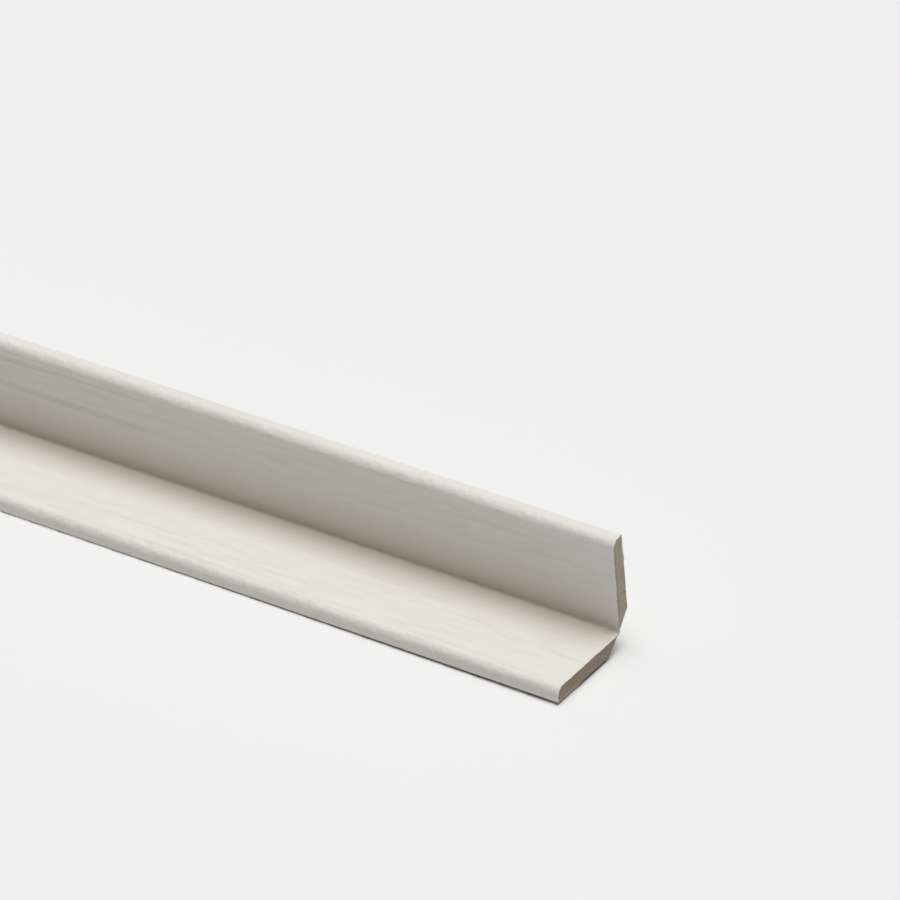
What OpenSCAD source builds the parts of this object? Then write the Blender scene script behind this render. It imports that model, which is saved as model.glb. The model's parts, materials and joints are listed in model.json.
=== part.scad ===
// Folding corner moulding: two mitred fibreboard laths held together by one decor foil.
// The moulding runs along X. The lying leg rests on z = 0 and points to -Y from the crease,
// the standing leg rises from the crease. The origin is the middle of the footprint.

/* [Moulding] */
// Length of the moulding
length = 2400; // [300:50:3000]
// Width of the lying leg, from the crease to its outer edge
lying_width = 22.5; // [15:0.5:60]
// Width of the standing leg, from the crease to its outer edge
standing_width = 22; // [15:0.5:60]
// Angle between the two visible faces
fold_angle = 82; // [60:1:170]

/* [Laths] */
// Thickness of the fibreboard
lath_thickness = 3; // [2:0.25:6]
// Angle of the mitre along the inner edges, off square
mitre_angle = 45; // [20:1:50]

/* [Foil] */
// Thickness of the decor foil
foil_thickness = 0.2; // [0.1:0.05:0.4]
// Width of the free foil between the tips of the laths, with the crease in its middle
web_width = 2.2; // [1.2:0.1:4]
// Radius of the crease on the visible side
crease_radius = 0.5; // [0.1:0.05:0.9]
// Radius of the visible outer edges
front_radius = 1.8; // [0.5:0.1:2.5]
// Radius of the outer edges on the back
back_radius = 0.3; // [0.2:0.1:1.5]
// Width of the foil turned onto the back
wrap_width = 7.5; // [3:0.5:10]

/* [Hidden] */
// How far a cutting shape runs past the face that it cuts
run_out = 1;
// Leg thickness over lath and foil
leg_thickness = lath_thickness + foil_thickness;
// How far the mitre falls back over the thickness of a lath
mitre_run = lath_thickness * tan(mitre_angle);
// Distance from the crease to the tip of each lath
lath_tip = web_width / 2;
// Half of the foil's turn at the crease, and where the straight faces meet the bend
half_turn = (180 - fold_angle) / 2;
bend_start = crease_radius * tan(half_turn);
// Furthest point of the standing leg behind the crease: its mitre or its outer back corner
standing_reach = leg_thickness * sin(fold_angle)
    - cos(fold_angle) * (fold_angle > 90 ? standing_width : lath_tip + mitre_run);
// Place of the crease, with the footprint centred on the origin
crease_y = (lying_width - standing_reach) / 2;
$fn = 64;

// Colours of the fibreboard and the foil
lath_colour = [0.56, 0.50, 0.43];
foil_colour = [0.90, 0.88, 0.85];

// Carries a section, drawn in y and z, along the moulding with the crease in its place
module along_moulding() {
    translate([0, crease_y, leg_thickness]) rotate([90, 0, 90])
        linear_extrude(height = length, center = true) children();
}

// A leg is drawn along +x from the crease, its visible face on y = 0 and its back below. It is
// turned up beside the fold's bisector, the lying one mirrored in it, and laid on the floor.
module turned_up() { rotate(half_turn) children(); }
module standing() { rotate(half_turn) children(); }
module lying() { rotate(half_turn) mirror([1, 0]) children(); }

// What a round of this radius takes from a corner; its centre is the origin
module corner_cut(radius) {
    if (radius > 0) difference() {
        square(radius + run_out);
        circle(radius);
    }
}

// The outer edge of a leg, both corners rounded, set in by inset from the leg's outside
module outer_corner_cuts(width, inset) {
    translate([width - front_radius, -front_radius]) corner_cut(front_radius - inset);
    translate([width - back_radius, back_radius - leg_thickness]) rotate(-90)
        corner_cut(back_radius - inset);
}

// One lath: mitred at the crease, rounded at the outer edge, with the wrap let in flush behind
module lath_section(width) {
    difference() {
        polygon([
            [lath_tip, -foil_thickness],
            [width - foil_thickness, -foil_thickness],
            [width - foil_thickness, -leg_thickness],
            [lath_tip + mitre_run, -leg_thickness]
        ]);
        translate([width - wrap_width, -leg_thickness - run_out])
            square([wrap_width + run_out, foil_thickness + run_out]);
        outer_corner_cuts(width, foil_thickness);
    }
}

// The round of the crease, seen from the leg: its centre lies in front of the visible face
module crease_round(radius) { translate([bend_start, crease_radius]) circle(radius); }

// All that lies behind the face's foil, up to the edge of the wrap
module behind_foil(width) {
    difference() {
        polygon([
            [bend_start, crease_radius],
            [-leg_thickness, crease_radius],
            [-leg_thickness, -leg_thickness - run_out],
            [width - wrap_width, -leg_thickness - run_out],
            [width - wrap_width, -foil_thickness],
            [bend_start, -foil_thickness]
        ]);
        crease_round(crease_radius + foil_thickness);
    }
}

// What the foil encloses at the outer edge
module wrapped_core(width) {
    difference() {
        translate([0, foil_thickness - leg_thickness])
            square([width - foil_thickness, leg_thickness - 2 * foil_thickness]);
        outer_corner_cuts(width, foil_thickness);
    }
}

// The foil on one leg: out of the crease, over the face, round the outer edge, onto the back
module foil_section(width) {
    difference() {
        translate([-run_out, -leg_thickness])
            square([width + run_out, leg_thickness + crease_radius]);
        translate([bend_start, 0]) square(width);
        crease_round(crease_radius);
        behind_foil(width);
        wrapped_core(width);
        outer_corner_cuts(width, 0);
    }
}

// One leg's foil up to the bisector, where it meets the other leg's
module half_foil_section(width) {
    intersection() {
        turned_up() foil_section(width);
        translate([0, -width]) square(2 * width);
    }
}

module lying_lath() {
    color(lath_colour) along_moulding() lying() turned_up() lath_section(lying_width);
}

module standing_lath() {
    color(lath_colour) along_moulding() standing() turned_up() lath_section(standing_width);
}

module decor_foil() {
    color(foil_colour) along_moulding() {
        lying() half_foil_section(lying_width);
        standing() half_foil_section(standing_width);
    }
}

lying_lath();
standing_lath();
decor_foil();
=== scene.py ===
"""The looks of a folding corner moulding: two bare fibreboard laths under one wood-grain foil."""
import json
import math

import bpy
import numpy as np
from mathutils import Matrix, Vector


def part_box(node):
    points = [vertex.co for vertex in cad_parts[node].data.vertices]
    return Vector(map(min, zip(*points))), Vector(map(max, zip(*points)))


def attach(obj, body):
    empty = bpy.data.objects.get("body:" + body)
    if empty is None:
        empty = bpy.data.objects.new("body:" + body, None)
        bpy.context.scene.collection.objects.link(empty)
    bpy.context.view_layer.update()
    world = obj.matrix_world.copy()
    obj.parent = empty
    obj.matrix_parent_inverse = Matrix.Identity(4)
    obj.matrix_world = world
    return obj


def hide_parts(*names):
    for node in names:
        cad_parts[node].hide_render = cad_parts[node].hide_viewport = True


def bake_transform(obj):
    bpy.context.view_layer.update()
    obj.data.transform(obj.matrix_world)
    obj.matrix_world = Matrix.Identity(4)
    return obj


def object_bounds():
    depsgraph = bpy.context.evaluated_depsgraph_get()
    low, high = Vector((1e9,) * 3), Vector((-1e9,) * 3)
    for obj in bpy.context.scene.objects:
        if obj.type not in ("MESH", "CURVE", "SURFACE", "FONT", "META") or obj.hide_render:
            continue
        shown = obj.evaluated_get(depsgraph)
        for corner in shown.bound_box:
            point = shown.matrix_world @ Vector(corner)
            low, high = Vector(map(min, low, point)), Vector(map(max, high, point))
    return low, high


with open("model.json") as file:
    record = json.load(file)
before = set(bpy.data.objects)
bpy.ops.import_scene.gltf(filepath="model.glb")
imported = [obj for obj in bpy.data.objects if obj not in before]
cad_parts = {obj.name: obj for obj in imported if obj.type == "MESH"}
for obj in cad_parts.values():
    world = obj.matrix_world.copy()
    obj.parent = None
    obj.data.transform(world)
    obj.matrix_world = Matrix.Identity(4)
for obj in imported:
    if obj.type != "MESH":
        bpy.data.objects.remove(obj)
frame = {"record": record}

bl_info = {
    "name": "Folding corner moulding",
    "version": (1, 0, 0),
    "blender": (4, 5, 0),
    "location": "3D View > Sidebar > Moulding",
    "description": "Builds the laths, the decor foil and the stage of a folding corner moulding",
    "category": "Add Mesh",
}

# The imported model's box, the line of its crease, the lean of the standing leg past square, half
# of the foil's turn at the crease, and the tip of the lying lath
CAD_LOW, CAD_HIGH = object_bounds()
FOLD = frame["record"]["behaviour"]["joints"][0]
CREASE_Y, CREASE_Z = FOLD["pos_m"][1:]
STANDING_BACK = next(m for m in frame["record"]["mounts"] if m["name"] == "standing_back")
LEAN = math.atan2(STANDING_BACK["axis"][2], STANDING_BACK["axis"][1])
HALF_TURN = (math.pi / 2 + LEAN) / 2
LATH_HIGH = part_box("lying_lath")[1]


class MouldingSizes(bpy.types.PropertyGroup):
    """Sizes of the section and of its sawn ends, in metres"""

    length: bpy.props.FloatProperty(
        name="Length", description="Length of the moulding",
        default=CAD_HIGH.x - CAD_LOW.x, unit="LENGTH")
    lying_width: bpy.props.FloatProperty(
        name="Lying width", description="From the crease to the outer edge of the lying leg",
        default=CREASE_Y - CAD_LOW.y, unit="LENGTH")
    standing_width: bpy.props.FloatProperty(
        name="Standing width", description="From the crease to the outer edge of the standing leg",
        default=0.022, unit="LENGTH")
    leg_thickness: bpy.props.FloatProperty(
        name="Leg thickness", description="Board and foil together",
        default=CREASE_Z, unit="LENGTH")
    foil_thickness: bpy.props.FloatProperty(
        name="Foil thickness", description="Thickness of the decor foil",
        default=CREASE_Z - LATH_HIGH.z, unit="LENGTH")
    lath_tip: bpy.props.FloatProperty(
        name="Lath tip", description="From the crease to the tip of each lath",
        default=CREASE_Y - LATH_HIGH.y, unit="LENGTH")
    mitre_run: bpy.props.FloatProperty(
        name="Mitre run", description="How far the mitre falls back over the thickness of a lath",
        default=0.003, unit="LENGTH")
    crease_radius: bpy.props.FloatProperty(
        name="Crease radius", description="Radius of the foil's bend on the visible side",
        default=0.0005, unit="LENGTH")
    front_radius: bpy.props.FloatProperty(
        name="Front radius", description="Radius of the visible outer edges",
        default=0.0018, unit="LENGTH")
    back_radius: bpy.props.FloatProperty(
        name="Back radius", description="Radius of the outer edges on the back",
        default=0.0003, unit="LENGTH")
    wrap_width: bpy.props.FloatProperty(
        name="Wrap width", description="Width of the foil turned onto the back",
        default=0.0075, unit="LENGTH")
    saw_relief: bpy.props.FloatProperty(
        name="Saw relief", description="Depth of the torn fibres on the sawn ends",
        default=0.00005, unit="LENGTH")
    fray: bpy.props.FloatProperty(
        name="Fray", description="How far the edges of the sawn ends are worn back at most",
        default=0.00020, unit="LENGTH")
    floor_gap: bpy.props.FloatProperty(
        name="Floor gap", description="Air under the ends of the lying leg, which bows up a little",
        default=0.00066, unit="LENGTH")


class MouldingColours(bpy.types.PropertyGroup):
    """Colours of the foil, the board and the stage, linear"""

    foil: bpy.props.FloatVectorProperty(
        name="Foil", description="Ground colour of the decor foil",
        subtype="COLOR", size=3, default=(0.705, 0.672, 0.625))
    foil_grain: bpy.props.FloatVectorProperty(
        name="Foil grain", description="Colour of the printed wood grain",
        subtype="COLOR", size=3, default=(0.60, 0.56, 0.505))
    # Painted shade: the foil's colour in the crease, darker and warmer than its ground; at half
    # strength it also darkens the strips of painted shade
    foil_painted_shade: bpy.props.FloatVectorProperty(
        name="Foil in the crease", description="Warmer colour of the foil towards the crease",
        subtype="COLOR", size=3, default=(0.69, 0.63, 0.55))
    foil_edge: bpy.props.FloatVectorProperty(
        name="Foil edge", description="Colour of the foil's cut edge",
        subtype="COLOR", size=3, default=(0.26, 0.24, 0.21))
    lying_board: bpy.props.FloatVectorProperty(
        name="Lying board", description="Colour of the lying lath's bare fibreboard",
        subtype="COLOR", size=3, default=(0.300, 0.240, 0.180))
    standing_board: bpy.props.FloatVectorProperty(
        name="Standing board", description="Colour of the standing lath's bare fibreboard",
        subtype="COLOR", size=3, default=(0.405, 0.350, 0.272))
    glue: bpy.props.FloatVectorProperty(
        name="Glue", description="Colour of the glue line under the foil's wrap",
        subtype="COLOR", size=3, default=(0.60, 0.54, 0.46))
    backdrop: bpy.props.FloatVectorProperty(
        name="Backdrop", description="Colour of the backdrop, and of the floor as it renders",
        subtype="COLOR", size=3, default=(0.863, 0.863, 0.863))
    floor: bpy.props.FloatVectorProperty(
        name="Floor", description="Colour of the floor for the light that it throws back up",
        subtype="COLOR", size=3, default=(0.90, 0.90, 0.90))


class Value:
    """A socket that carries a number; an operator on it adds the Math node that works it out."""

    def __init__(self, nodes, socket):
        self.nodes, self.socket = nodes, socket

    def math(self, operation, first, second=0.0):
        """Adds the Math node of this operation."""
        return self.nodes.add("ShaderNodeMath", {"operation": operation}, {0: first, 1: second})

    def __add__(self, other):
        return self.math("ADD", self, other)

    def __sub__(self, other):
        return self.math("SUBTRACT", self, other)

    def __rsub__(self, other):
        return self.math("SUBTRACT", other, self)

    def __mul__(self, other):
        return self.math("MULTIPLY", self, other)

    def __abs__(self):
        return self.math("ABSOLUTE", self)

    __radd__, __rmul__ = __add__, __mul__


class Nodes:
    """Adds nodes to one material's or world's tree, each through the same call."""

    def __init__(self, tree):
        self.tree = tree
        tree.nodes.clear()

    def add(self, kind, settings, sockets, output=0):
        """Makes a node of this kind, sets it up, then fills its sockets with values or links."""
        node = self.tree.nodes.new(kind)
        for name, setting in settings.items():
            setattr(node, name, setting)
        for key, value in sockets.items():
            if isinstance(value, Value):
                self.tree.links.new(value.socket, node.inputs[key])
            else:
                node.inputs[key].default_value = value
        return Value(self, node.outputs[output]) if node.outputs else None

    def part(self, place, axis):
        """One coordinate of a place: 0, 1 or 2."""
        return self.add("ShaderNodeSeparateXYZ", {}, {"Vector": place}, axis)

    def noise(self, place, scale, detail, roughness=0.5, distortion=0.0):
        """Noise over the place, scaled by a different amount along each axis."""
        scaled = self.add("ShaderNodeVectorMath", {"operation": "MULTIPLY"}, {0: place, 1: scale})
        return self.add("ShaderNodeTexNoise", {}, {
            "Vector": scaled, "Scale": 1.0, "Detail": detail,
            "Roughness": roughness, "Distortion": distortion})

    def ramp(self, value, low, high, result_low=0.0, result_high=1.0):
        """Takes the value from low..high to the result's range, smoothly and clamped."""
        return self.add("ShaderNodeMapRange", {"interpolation_type": "SMOOTHSTEP"}, {
            "Value": value, "From Min": low, "From Max": high,
            "To Min": result_low, "To Max": result_high})

    def blend(self, factor, first, second):
        """Mixes two colours."""
        return self.add("ShaderNodeMix", {"data_type": "RGBA"},
                        {0: factor, 6: first, 7: second}, 2)

    def bump(self, height, strength, distance, normal=None):
        """A normal tilted by the height, on top of another one where there is one."""
        sockets = {"Strength": strength, "Distance": distance, "Height": height}
        if normal is not None:
            sockets["Normal"] = normal
        return self.add("ShaderNodeBump", {}, sockets)

    def seen(self):
        """1 for what the camera sees, straight or in a gloss or through glass, and 0 for light."""
        camera, gloss, glass = (self.add("ShaderNodeLightPath", {}, {}, f"Is {kind} Ray")
                                for kind in ("Camera", "Glossy", "Transmission"))
        return camera + gloss + glass


def rgba(colour, gain=1.0):
    """A colour for a socket, each channel times the gain."""
    return (*(gain * channel for channel in colour), 1.0)


def new_material(name):
    """A material and the empty tree of its nodes."""
    material = bpy.data.materials.new(name)
    material.use_nodes = True
    return material, Nodes(material.node_tree)


def foil_material(colours):
    """Satin off-white foil. The print follows the foil's own developed width and length: smudged
    bands of grain, a few long growth lines with ragged edges, thin streaks and short pores, all
    very faint, and fading in and out in patches. The foil lies a little unevenly on the board,
    most of all where it turns. Towards the crease its colour is painted darker and warmer, as
    shade. Painted shade also darkens it just above the crease, on the standing leg, and along
    the lying leg's outer edge."""
    material, nodes = new_material("decor_foil")
    developed = nodes.add("ShaderNodeUVMap", {"uv_map": "developed"}, {})
    # Places across the foil, from the crease, that bound the painted warm shade, the bend, the turn
    # at the outer edges, and both strips of painted shade; on the lying leg they count as negative
    crease_shade_span, bend, turn = (0.0, 0.011), (0.0010, 0.0035), (0.0190, 0.0205)
    standing_shade_start, standing_shade_end = (0.0, 0.0009), (0.0010, 0.0038)
    rim_start, edge_shade_end = (-0.0226, -0.0208), (-0.0246, -0.0230)
    side = nodes.part(developed, 1)
    reach = abs(side)
    patches = nodes.noise(developed, (9.0, 90.0, 0.0), detail=2.0)
    smudges = nodes.noise(developed, (75.0, 620.0, 0.0), 3.0, roughness=0.55, distortion=0.4)
    lines = nodes.noise(developed, (11.0, 560.0, 0.0), 2.0, roughness=0.4, distortion=0.25)
    ragged = nodes.noise(developed, (320.0, 1500.0, 0.0), detail=2.0)
    streaks = nodes.noise(developed, (30.0, 1900.0, 0.0), 3.0, roughness=0.6)
    pores = nodes.noise(developed, (260.0, 3600.0, 0.0), detail=2.0)
    line_mask = nodes.ramp(lines + ragged * 0.12, 0.66, 0.74)
    pore_mask = nodes.ramp(pores, 0.62, 0.76)
    grain = nodes.ramp(smudges, 0.40, 0.72) * 0.42 + line_mask * 0.55
    grain = grain + nodes.ramp(streaks, 0.45, 0.75, 0.0, 0.20) + pore_mask * 0.14
    grain = grain * nodes.ramp(patches, 0.38, 0.62, 0.25, 1.0)
    ground = nodes.blend(grain, rgba(colours.foil), rgba(colours.foil_grain))
    # Painted shade: the foil turns darker and warmer towards the crease
    crease_shade = nodes.ramp(reach, *crease_shade_span, 1.0, 0.0)
    colour = nodes.blend(crease_shade, ground, rgba(colours.foil_painted_shade))
    # Painted shade: a strip just above the crease, on the standing leg, darkened towards half the
    # crease colour
    standing_shade_strip = nodes.ramp(side, *standing_shade_start, 0.0, 0.22) * nodes.ramp(side, *standing_shade_end, 1.0, 0.0)
    # Painted shade: a band along the lying leg's outer edge, most on its round, darkened the same
    # way
    rim = nodes.ramp(side, *rim_start, 0.14, 0.0) * nodes.ramp(side, *edge_shade_end, 0.3, 1.0)
    colour = nodes.blend(standing_shade_strip + rim, colour, rgba(colours.foil_painted_shade, 0.5))
    turned = nodes.ramp(reach, *bend, 1.0, 0.0) + nodes.ramp(reach, *turn)
    dents = nodes.noise(developed, (650.0, 700.0, 0.0), detail=1.0)
    lay = nodes.bump(smudges * 0.25 + dents * turned, strength=1.0, distance=0.00024)
    relief = nodes.bump(streaks * 0.4 - pore_mask * 0.6, 0.12, 0.00004, normal=lay)
    surface = nodes.add("ShaderNodeBsdfPrincipled", {}, {
        "Base Color": colour, "Roughness": nodes.ramp(streaks, 0.3, 0.7, 0.46, 0.56),
        "Normal": relief, "Specular IOR Level": 0.35})
    nodes.add("ShaderNodeOutputMaterial", {}, {"Surface": surface})
    return material


def foil_edge_material(colours):
    """The foil's cut edge: the dark core of the sheet, scuffed by the saw."""
    material, nodes = new_material("foil_edge")
    place = nodes.add("ShaderNodeTexCoord", {}, {}, "Object")
    scuffs = nodes.noise(place, (3000.0, 1500.0, 1500.0), 3.0, roughness=0.6)
    colour = nodes.blend(nodes.ramp(scuffs, 0.35, 0.65, 0.0, 0.35), rgba(colours.foil_edge),
                         rgba(colours.foil_grain))
    relief = nodes.bump(scuffs, strength=0.3, distance=0.00004)
    surface = nodes.add("ShaderNodeBsdfPrincipled", {}, {
        "Base Color": colour, "Roughness": 0.8, "Normal": relief, "Specular IOR Level": 0.2})
    nodes.add("ShaderNodeOutputMaterial", {}, {"Surface": surface})
    return material


def board_material(name, sizes, colours, board, width):
    """Bare fibreboard: felted fibres as short flecks along and across the board, darker bundles
    and pale dust, matt all over. Both pressed skins are denser and darker than the core, and a
    thin pale line of glue shows under the wrap of the foil."""
    material, nodes = new_material(name)
    place = nodes.add("ShaderNodeTexCoord", {}, {}, "Object")
    section = nodes.add("ShaderNodeUVMap", {"uv_map": "section"}, {})
    out, depth = nodes.part(section, 0), nodes.part(section, 1)
    clouds = nodes.noise(place, (260.0, 420.0, 420.0), detail=3.0)
    along = nodes.noise(place, (900.0, 5200.0, 5200.0), 3.0, roughness=0.6)
    across = nodes.noise(place, (5200.0, 1500.0, 5200.0), 3.0, roughness=0.6)
    flecks = nodes.noise(place, (2600.0, 3400.0, 6000.0), detail=2.0)
    fibre = nodes.ramp(along, 0.40, 0.70, 0.0, 0.35) + nodes.ramp(across, 0.40, 0.70, 0.0, 0.35)
    fibre = fibre + nodes.ramp(flecks, 0.62, 0.72, 0.0, 0.4)
    fibre = fibre + nodes.ramp(clouds, 0.35, 0.65, 0.0, 0.3)
    # Depth at which the wrap lies, thickness of a pressed skin, and the glue line above the wrap
    foil, ledge = sizes.foil_thickness, sizes.leg_thickness - sizes.foil_thickness
    skin, glue_top, glue_bottom = 0.00035, 0.00034, 0.00020
    skins = nodes.ramp(depth, foil, foil + skin, 0.30, 0.0)
    skins = skins + nodes.ramp(depth, ledge - skin, ledge, 0.0, 0.20)
    colour = nodes.blend(fibre * 0.5 + skins, rgba(board), rgba(board, 0.5))
    wrapped, fade = width - sizes.wrap_width, 0.001
    glue = nodes.ramp(depth, ledge - glue_top, ledge - glue_bottom)
    glue = glue * nodes.ramp(out, wrapped - fade, wrapped + fade)
    glue = glue * nodes.ramp(clouds, 0.30, 0.55, 0.4, 1.0)
    colour = nodes.blend(glue, colour, rgba(colours.glue))
    relief = nodes.bump(along * 0.5 + across * 0.5, strength=0.35, distance=0.00006)
    surface = nodes.add("ShaderNodeBsdfPrincipled", {}, {
        "Base Color": colour, "Roughness": 0.9, "Normal": relief, "Specular IOR Level": 0.2})
    nodes.add("ShaderNodeOutputMaterial", {}, {"Surface": surface})
    return material


def lying_leg(places):
    """Takes (distance from the crease, depth behind the face) to (y, z) on the lying leg: y is the
    crease's less the distance, z the crease's less the depth."""
    return np.stack([CREASE_Y - places[..., 0], CREASE_Z - places[..., 1]], -1)


def standing_leg(places):
    """The same on the standing leg: up from the crease by the distance and back by the depth, both
    turned forward by LEAN."""
    out, depth = places[..., 0], places[..., 1]
    return np.stack([CREASE_Y - out * math.sin(LEAN) + depth * math.cos(LEAN),
                     CREASE_Z + out * math.cos(LEAN) + depth * math.sin(LEAN)], -1)


def ripple(places, pitch, seed):
    """Smooth random height from -1 to 1 over (u, v) places: twelve plane waves added up, each the
    sine of the place along a random direction, over a wavelength near the pitch. The sum is
    divided by the usual height of its peaks and clipped."""
    waves, peak = 12, 3.5
    random = np.random.default_rng(seed)
    turn, phase = random.uniform(0.0, 2 * math.pi, (2, waves))
    wave = 2 * math.pi / (pitch * random.uniform(0.6, 1.6, waves))
    u, v = places[..., :1], places[..., 1:]
    heights = np.sin(u * np.cos(turn) * wave + v * np.sin(turn) * wave + phase)
    return np.clip(heights.sum(-1) / peak, -1.0, 1.0)


def straight(start, end, count):
    """Points from start to end, both included, as start + t * (end - start)."""
    t = np.linspace(0.0, 1.0, count)[:, None]
    return np.asarray(start) * (1.0 - t) + np.asarray(end) * t


def arc(centre, radius, start, stop, count):
    """Points on a circle round centre; the angle goes from start to stop, both included."""
    angle = np.linspace(start, stop, count)
    return np.stack([centre[0] + radius * np.cos(angle), centre[1] + radius * np.sin(angle)], -1)


def joined(*runs):
    """Runs end to end, each run's first entry dropped where the last one ended."""
    return np.concatenate([runs[0]] + [run[1:] for run in runs[1:]])


def stations(sizes, fine, run):
    """Places along x: fine steps over a run at either end, wide ones between."""
    wide = 0.04
    half = sizes.length / 2
    end = np.linspace(half - run, half, round(run / fine) + 1)
    middle = np.linspace(run - half, half - run, round((sizes.length - 2 * run) / wide) + 1)
    return joined(-end[::-1], middle, end)


def quads(index):
    """Faces between neighbours of a grid of point numbers."""
    corners = index[:-1, :-1], index[:-1, 1:], index[1:, 1:], index[1:, :-1]
    return np.stack(corners, -1).reshape(-1, 4)


def outward(points, faces):
    """The faces, all turned round if they point in. The volume that they close off, the sum of
    a . (b x c) + a . (c x d) over quads a, b, c, d, is then negative."""
    a, b, c, d = (points[faces[:, corner]] for corner in range(4))
    return faces if (a * (np.cross(b, c) + np.cross(c, d))).sum() > 0 else faces[:, ::-1]


def new_piece(name, points, faces, *materials, sharp=40, finish=0):
    """A mesh object at the origin from whole arrays of points and quads, smooth but for edges that
    turn by more than sharp degrees. finish is the number of the material, for all faces or each."""
    mesh = bpy.data.meshes.new(name)
    mesh.from_pydata(points, [], faces)
    for material in materials:
        mesh.materials.append(material)
    finishes = np.broadcast_to(finish, len(faces)).astype(np.int32)
    mesh.polygons.foreach_set("material_index", finishes)
    mesh.shade_smooth()
    mesh.set_sharp_from_angle(angle=math.radians(sharp))
    piece = bpy.data.objects.new(name, mesh)
    bpy.context.scene.collection.objects.link(piece)
    return piece


def lay_map(piece, name, places):
    """Writes a UV map from one (u, v) place for each point."""
    corners = np.empty(len(piece.data.loops), dtype=np.int32)
    piece.data.loops.foreach_get("vertex_index", corners)
    layer = piece.data.uv_layers.new(name=name)
    layer.data.foreach_set("uv", places.reshape(-1, 2)[corners].ravel())


def foil_run(sizes, width, inset):
    """One leg's foil from the bisector of the fold to its end on the back, in leg coordinates.
    The bend is an arc round a centre in front of the face; the face, the outer edge and the wrap
    are straight, joined by quarter circles. inset is the depth below the foil's outside."""
    thickness, front, back = sizes.leg_thickness, sizes.front_radius, sizes.back_radius
    bend = sizes.crease_radius
    bend_start = bend * math.tan(HALF_TURN)
    quarter = math.pi / 2
    return joined(
        arc((bend_start, -bend), bend + inset, quarter + HALF_TURN, quarter, count=12),
        straight((bend_start, inset), (sizes.lath_tip, inset), count=4),
        straight((sizes.lath_tip, inset), (width - front, inset), count=56),
        arc((width - front, front), front - inset, -quarter, 0.0, count=14),
        straight((width - inset, front), (width - inset, thickness - back), count=3),
        arc((width - back, thickness - back), back - inset, 0.0, quarter, count=6),
        straight((width - back, thickness - inset),
                 (width - sizes.wrap_width, thickness - inset), count=5))


def foil_sheet(sizes, inset):
    """The whole foil's section at one depth: the lying run backwards, then the standing run."""
    return joined(lying_leg(foil_run(sizes, sizes.lying_width, inset))[::-1],
                  standing_leg(foil_run(sizes, sizes.standing_width, inset)))


def board_section(sizes, width):
    """A lath's section as a grid over (s, t) in leg coordinates. s goes from the tip out to the
    edge, in even steps up to the round and then as the sine of its angle. t goes from the face's
    foil to the back as (1 - cos) / 2. The face falls away in a quarter circle at the edge; the
    back follows the mitre, the bare board, the ledge for the wrap and a small quarter circle.
    The ledge is a steep slope 0.05 mm wide, and the tip is blunted by 0.03 mm."""
    foil, thickness = sizes.foil_thickness, sizes.leg_thickness
    ledge, blunt, step = 0.00005, 0.00003, 0.0002
    round_count, depth_count = 18, 15
    wrapped, edge = width - sizes.wrap_width, width - foil
    marks = (sizes.lath_tip + blunt, sizes.lath_tip + sizes.mitre_run, wrapped - ledge, wrapped,
             width - sizes.front_radius)
    even = [np.linspace(a, b, max(2, round((b - a) / step) + 1)) for a, b in zip(marks, marks[1:])]
    front, back = sizes.front_radius - foil, sizes.back_radius - foil
    out = joined(*even, marks[-1] + front * np.sin(np.linspace(0.0, math.pi / 2, round_count)))
    face = foil + front - np.sqrt(front ** 2 - np.clip(out - (edge - front), 0.0, front) ** 2)
    mitre = foil + (out - sizes.lath_tip) * (thickness - foil) / sizes.mitre_run
    rebate = thickness - foil * np.clip((out - wrapped) / ledge + 1.0, 0.0, 1.0)
    corner = back - np.sqrt(back ** 2 - np.clip(out - (edge - back), 0.0, back) ** 2)
    rear = np.minimum(mitre, rebate - corner)
    t = (1.0 - np.cos(np.linspace(0.0, math.pi, depth_count))) / 2
    depth = face[:, None] + (rear - face)[:, None] * t
    return np.stack([np.broadcast_to(out[:, None], depth.shape), depth], -1)


def sawn_relief(sizes, section, seed, nick=None):
    """How far a sawn end lies behind the plane of its cut: torn fibres as the product of a coarse
    and a fine ripple, the marks of the teeth as a sine that wanders a little, the face's and the
    back's edges worn back in places as the square of the distance into the rim, and a nick, where
    there is one, as a V that runs out towards the face."""
    coarse, fine, tooth, wander, wear = 0.0030, 0.0009, 0.00075, 0.01, 0.0024
    torn = 0.6 + 0.4 * ripple(section, coarse, seed) * ripple(section, fine, seed + 1)
    drift = 2.0 * ripple(section, wander, seed + 2)
    teeth = 0.08 * np.sin(section[..., 0] * 2 * math.pi / tooth + drift)
    back = sizes.saw_relief * (torn + teeth)
    rows = np.linspace(-1.0, 1.0, section.shape[1])
    rim_start, rim_width = 0.70, 0.30
    rim = np.clip((np.abs(rows) - rim_start) / rim_width, 0.0, 1.0) ** 2
    worn = 0.5 + 0.5 * ripple(section, wear, seed + 3)
    back = back + (sizes.fray - sizes.saw_relief) * rim * worn
    if nick:
        cut = np.clip(1.0 - np.abs(section[..., 0] - nick["place"]) / nick["half_width"], 0.0, 1.0)
        run_out = np.clip((section[..., 1] - nick["start"]) / nick["run_out"], 0.0, 1.0)
        back = back + nick["depth"] * cut * run_out
    return back


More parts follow.
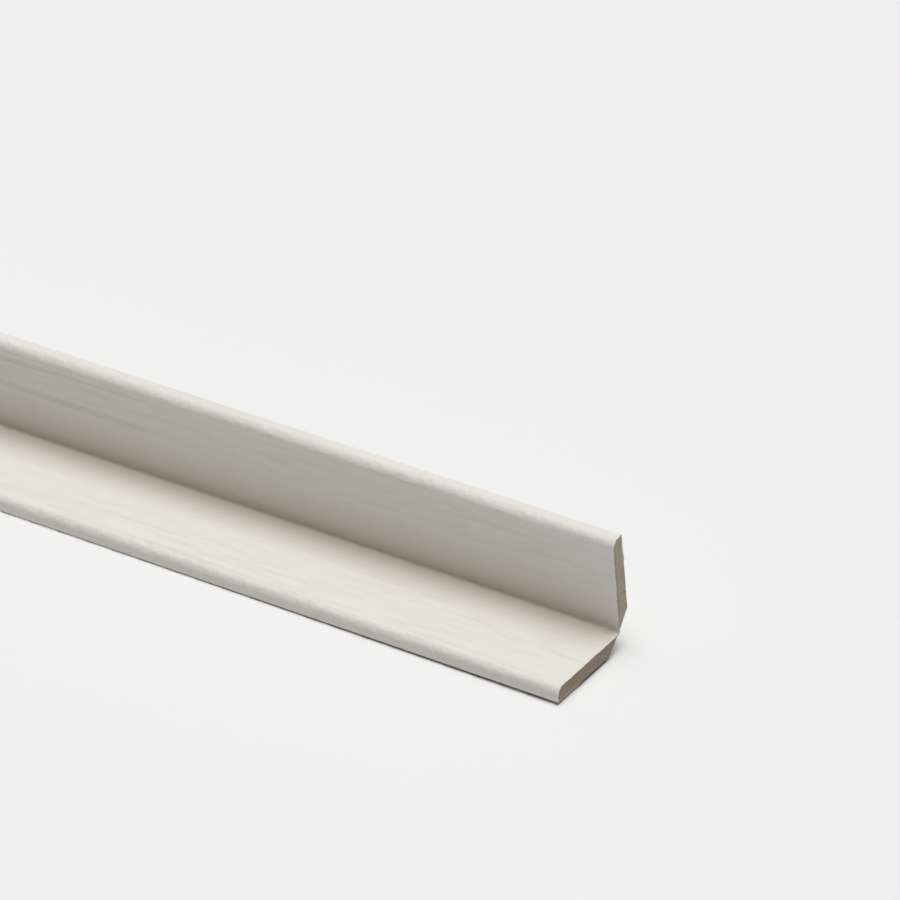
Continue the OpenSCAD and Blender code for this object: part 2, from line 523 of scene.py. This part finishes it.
class MOULDING_OT_foil(bpy.types.Operator):
    """Builds the decor foil: one sheet over both faces, round the outer edges and onto the backs"""

    bl_idname = "moulding.foil"
    bl_label = "Decor foil"

    def execute(self, context):
        sizes, colours = context.scene.moulding_sizes, context.scene.moulding_colours
        # The section as a closed loop, out along one side and back along the other
        outside, inside = foil_sheet(sizes, 0.0), foil_sheet(sizes, sizes.foil_thickness)
        count = len(outside)
        loop = np.concatenate([outside, inside[::-1]])
        # How far each of its points lies from the crease, along the foil
        steps = np.linalg.norm(np.diff(outside, axis=0), axis=1)
        across = np.concatenate([[0.0], np.cumsum(steps)])
        across = across - across[count // 2]
        across = np.concatenate([across, across[::-1]])
        along = stations(sizes, fine=0.004, run=0.16)
        points = np.empty((len(along), len(loop), 3))
        points[..., 0] = along[:, None]
        points[..., 1:] = loop
        # Both sawn edges are frayed, only ever inwards, by a coarse and a fine ripple
        coarse, fine = 0.0026, 0.0011
        places = np.stack([across, np.zeros_like(across)], -1)
        for row, inwards, seed in ((0, 1.0, 11), (-1, -1.0, 12)):
            torn = 0.5 + 0.2 * ripple(places, coarse, seed) + 0.3 * ripple(places, fine, seed + 4)
            points[row, :, 0] += inwards * sizes.fray * torn
        index = np.arange(points[..., 0].size).reshape(len(along), len(loop))
        skin = quads(np.concatenate([index, index[:, :1]], 1))
        caps = [quads(np.stack([row[:count], row[:count - 1:-1]])) for row in (index[0], index[-1])]
        caps[0] = caps[0][:, ::-1]
        faces = np.concatenate([skin, *caps])
        # The second material is on the sawn ends and on the two long cut edges on the backs
        edge = np.ones(len(faces), dtype=np.int32)
        edge[:len(skin)] = np.isin(np.arange(len(skin)) % len(loop), (count - 1, 2 * count - 1))
        points = points.reshape(-1, 3)
        piece = new_piece("foil", points, outward(points, faces), foil_material(colours),
                          foil_edge_material(colours), finish=edge)
        lay_map(piece, "developed", np.stack(np.broadcast_arrays(along[:, None], across), -1))
        tip = np.array([sizes.lath_tip, 0.0])
        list(lying_leg(tip))
        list(standing_leg(tip))
        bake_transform(piece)
        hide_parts("decor_foil")
        return {"FINISHED"}


class MOULDING_OT_laths(bpy.types.Operator):
    """Builds both laths: bare fibreboard, mitred at the crease, sawn off at both ends"""

    bl_idname = "moulding.laths"
    bl_label = "Laths"

    def execute(self, context):
        sizes, colours = context.scene.moulding_sizes, context.scene.moulding_colours
        nick = {"place": 0.0087, "half_width": 0.00025, "start": 0.0012, "run_out": 0.0004,
                "depth": 0.0002}
        self.lath(sizes, colours, "lying", lying_leg, sizes.lying_width,
                  colours.lying_board, seed=21)
        self.lath(sizes, colours, "standing", standing_leg, sizes.standing_width,
                  colours.standing_board, seed=31, nick=nick)
        return {"FINISHED"}

    def lath(self, sizes, colours, side, leg, width, board, seed, nick=None):
        """The section carried along x, closed by two sawn ends that share its outermost points.
        The nick is in the end at +x."""
        section = board_section(sizes, width)
        columns, rows = section.shape[:2]
        ends = np.arange(2 * columns * rows).reshape(2, columns, rows)
        rim = [np.concatenate([end[0, :-1], end[:-1, -1], end[-1, :0:-1], end[:0:-1, 0]])
               for end in ends]
        along = stations(sizes, fine=0.02, run=0.16)[1:-1]
        rings = ends.size + np.arange(len(along) * len(rim[0])).reshape(len(along), -1)
        index = np.concatenate([rim[:1], rings, rim[1:]])
        faces = np.concatenate([quads(np.concatenate([index, index[:, :1]], 1)),
                                quads(ends[0])[:, ::-1], quads(ends[1])])
        places = section.reshape(-1, 2)
        places = np.concatenate([places, places, np.tile(places[rim[0]], (len(along), 1))])
        half = sizes.length / 2
        x = np.concatenate([sawn_relief(sizes, section, seed).ravel() - half,
                            half - sawn_relief(sizes, section, seed + 5, nick).ravel(),
                            np.repeat(along, len(rim[0]))])
        points = np.concatenate([x[:, None], leg(places)], 1)
        material = board_material(f"{side}_fibreboard", sizes, colours, board, width)
        piece = new_piece(f"{side}_board", points, outward(points, faces), material, sharp=50)
        lay_map(piece, "section", places)
        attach(piece, f"{side}_leg")
        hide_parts(f"{side}_lath")


class MOULDING_OT_stage(bpy.types.Operator):
    """Sets the pale floor, the overhead light and the camera"""

    bl_idname = "moulding.stage"
    bl_label = "Stage"
    # Light on the floor from both lamps, where 1 renders a colour as it is written
    level = 1.13

    def execute(self, context):
        sizes, colours = context.scene.moulding_sizes, context.scene.moulding_colours
        self.floor(sizes, colours)
        self.lights(context.scene, colours)
        self.camera(context.scene)
        context.scene.view_settings.view_transform = "Standard"
        return {"FINISHED"}

    def floor(self, sizes, colours):
        """A square of side 60 m that carries the moulding in the middle and drops away under its
        ends, by the floor gap times the twentieth power of the distance to the middle over half of
        the length."""
        reach, power = 30.0, 20
        x = np.concatenate([[-reach], stations(sizes, fine=0.01, run=0.3), [reach]])
        drop = sizes.floor_gap * np.clip(np.abs(x) * 2 / sizes.length, 0.0, 1.0) ** power
        points = np.stack([np.stack([x, np.full_like(x, y), -drop], -1)
                           for y in (-reach, reach)], 1)
        material, nodes = new_material("floor")
        lit = nodes.add("ShaderNodeBsdfDiffuse", {}, {"Color": rgba(colours.floor)})
        pale = rgba(colours.backdrop, 1.0 / self.level)
        shown = nodes.add("ShaderNodeBsdfDiffuse", {}, {"Color": pale})
        both = nodes.add("ShaderNodeMixShader", {}, {0: nodes.seen(), 1: lit, 2: shown})
        nodes.add("ShaderNodeOutputMaterial", {}, {"Surface": both})
        index = np.arange(2 * len(x)).reshape(-1, 2)
        new_piece("floor", points.reshape(-1, 3), quads(index)[:, ::-1], material)

    def lights(self, scene, colours):
        """A soft lamp nearly straight above, a wider and weaker one behind it. tilt tips a lamp
        towards +Y, past the standing leg, and side tips it towards +X, past the sawn end, in
        degrees. The backdrop is seen, but gives no light."""
        for name, energy, angle, tilt, side in (
                ("overhead", 2.91, 44, -3, 6), ("behind", 0.70, 80, 22, 0)):
            lamp = bpy.data.lights.new(name, "SUN")
            lamp.energy = energy
            lamp.angle = math.radians(angle)
            holder = bpy.data.objects.new(name, lamp)
            holder.rotation_euler = (math.radians(-tilt), math.radians(side), 0.0)
            scene.collection.objects.link(holder)
        world = bpy.data.worlds.new("studio")
        world.use_nodes = True
        nodes = Nodes(world.node_tree)
        dark = nodes.add("ShaderNodeBackground", {}, {"Strength": 0.0})
        shown = nodes.add("ShaderNodeBackground", {},
                          {"Color": rgba(colours.backdrop), "Strength": 1.0})
        both = nodes.add("ShaderNodeMixShader", {}, {0: nodes.seen(), 1: dark, 2: shown})
        nodes.add("ShaderNodeOutputWorld", {}, {"Surface": both})
        scene.world = world

    def camera(self, scene):
        """Looks down at the sawn end, the moulding running off to the left. The camera stands off
        from the crease's end by three distances, along the picture's own axes."""
        azimuth, elevation = math.radians(32.144), math.radians(30.933)
        aside, above, away = 0.032313, 0.034916, 1.048833
        right = Vector((math.cos(azimuth), math.sin(azimuth), 0.0))
        back = Vector((math.sin(azimuth) * math.cos(elevation),
                       -math.cos(azimuth) * math.cos(elevation), math.sin(elevation)))
        up = back.cross(right)
        crease_end = Vector((CAD_HIGH.x, CREASE_Y, CREASE_Z))
        data = bpy.data.cameras.new("camera")
        data.lens, data.sensor_width = 220.91, 36.0
        camera = bpy.data.objects.new("camera", data)
        camera.location = crease_end - aside * right + above * up + away * back
        camera.rotation_euler = back.to_track_quat("Z", "Y").to_euler()
        scene.collection.objects.link(camera)
        scene.camera = camera


class MOULDING_PT_panel(bpy.types.Panel):
    """Lists the moulding's operators and settings"""

    bl_idname = "MOULDING_PT_panel"
    bl_label = "Folding corner moulding"
    bl_space_type = "VIEW_3D"
    bl_region_type = "UI"
    bl_category = "Moulding"

    def draw(self, context):
        for operator in OPERATORS:
            self.layout.operator(operator.bl_idname)
        for group in (context.scene.moulding_sizes, context.scene.moulding_colours):
            for name in group.__annotations__:
                self.layout.prop(group, name)


OPERATORS = (MOULDING_OT_foil, MOULDING_OT_laths, MOULDING_OT_stage)
CLASSES = (MouldingSizes, MouldingColours, *OPERATORS, MOULDING_PT_panel)


def register():
    """Makes the classes and the scene's settings known to Blender."""
    for cls in CLASSES:
        bpy.utils.register_class(cls)
    bpy.types.Scene.moulding_sizes = bpy.props.PointerProperty(type=MouldingSizes)
    bpy.types.Scene.moulding_colours = bpy.props.PointerProperty(type=MouldingColours)


def unregister():
    """Takes them out again."""
    del bpy.types.Scene.moulding_sizes, bpy.types.Scene.moulding_colours
    for cls in reversed(CLASSES):
        bpy.utils.unregister_class(cls)


def main():
    """Builds the pieces and the stage in order."""
    register()
    bpy.ops.moulding.foil()
    bpy.ops.moulding.laths()
    bpy.ops.moulding.stage()


if __name__ == "__main__":
    main()
